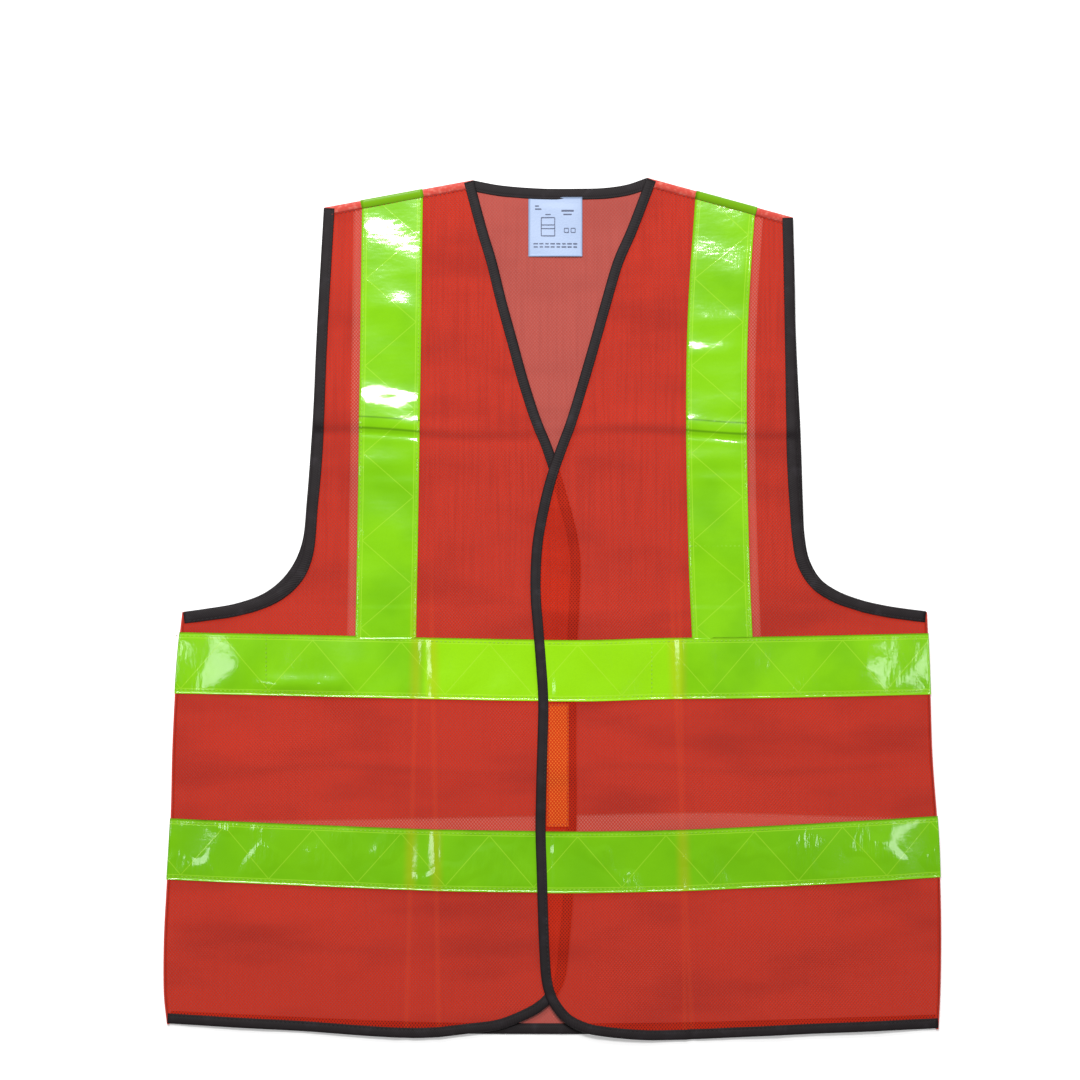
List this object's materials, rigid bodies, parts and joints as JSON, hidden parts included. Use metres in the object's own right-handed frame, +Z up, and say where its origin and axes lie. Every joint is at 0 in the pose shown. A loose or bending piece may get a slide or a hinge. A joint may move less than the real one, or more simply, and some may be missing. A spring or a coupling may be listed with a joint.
{
  "type": "high visibility vest",
  "caption": "Sleeveless mesh safety vest with prismatic reflective tapes, dark bound edges and a front hook-and-loop closure.",
  "frame": {"origin": "under the middle of the vest laid flat on its back, on the surface it lies on", "axes": "+X to the wearer's left, +Y towards the collar, +Z up through the front"},
  "size_m": [0.634, 0.7, 0.0157],
  "materials": {
    "mesh": "fluorescent orange-red knitted mesh",
    "reflective_tape": "glossy lime prismatic PVC",
    "binding": "black woven polyester binding",
    "seam_thread": "overlocked orange-red thread",
    "hook_and_loop": "orange hook-and-loop pile",
    "label": "bluish white satin"
  },
  "bodies": {
    "vest": {"back_hem_binding": "binding", "back_neck_binding": "binding", "back_panel": "mesh", "chest_tape_back": "reflective_tape", "left_back_armhole_binding": "binding", "left_brace_tape_back": "reflective_tape", "left_brace_tape_front": "reflective_tape", "left_chest_tape_side": "reflective_tape", "left_front_armhole_binding": "binding", "left_front_side_panel": "mesh", "left_hem_binding": "binding", "left_neck_binding_end": "binding", "left_shoulder_seam": "seam_thread", "left_side_seam": "seam_thread", "left_waist_tape_side": "reflective_tape", "right_back_armhole_binding": "binding", "right_brace_tape_back": "reflective_tape", "right_brace_tape_front": "reflective_tape", "right_chest_tape_side": "reflective_tape", "right_front_armhole_binding": "binding", "right_front_side_panel": "mesh", "right_hem_binding": "binding", "right_neck_binding_end": "binding", "right_shoulder_seam": "seam_thread", "right_side_seam": "seam_thread", "right_waist_tape_side": "reflective_tape", "waist_tape_back": "reflective_tape"},
    "left_flap": {"left_chest_tape_flap": "reflective_tape", "left_flap_edge_binding": "binding", "left_front_flap_panel": "mesh", "left_waist_tape_flap": "reflective_tape", "loop_strip": "hook_and_loop"},
    "right_flap": {"right_chest_tape_flap": "reflective_tape", "right_flap_edge_binding": "binding", "right_front_flap_panel": "mesh", "right_waist_tape_flap": "reflective_tape", "hook_strip": "hook_and_loop"},
    "label": {"care_label": "label"}
  },
  "joints": [
    {"name": "left_front_opening", "type": "hinge", "parent": "vest", "child": "left_flap", "pos_m": [0.075, 0.35, 0.0112], "axis": [-0.0528, 0.9986, 0], "range_deg": [0, 170]},
    {"name": "right_front_opening", "type": "hinge", "parent": "vest", "child": "right_flap", "pos_m": [-0.075, 0.35, 0.0112], "axis": [-0.0414, -0.9991, 0], "range_deg": [0, 119]},
    {"name": "label_turning", "type": "hinge", "parent": "vest", "child": "label", "pos_m": [0, 0.3277, 0.0024], "axis": [-1, 0, 0], "range_deg": [0, 165]}
  ],
  "couplings": [
    {"joint": "right_front_opening", "follows": "left_front_opening", "ratio": 0.7}
  ]
}
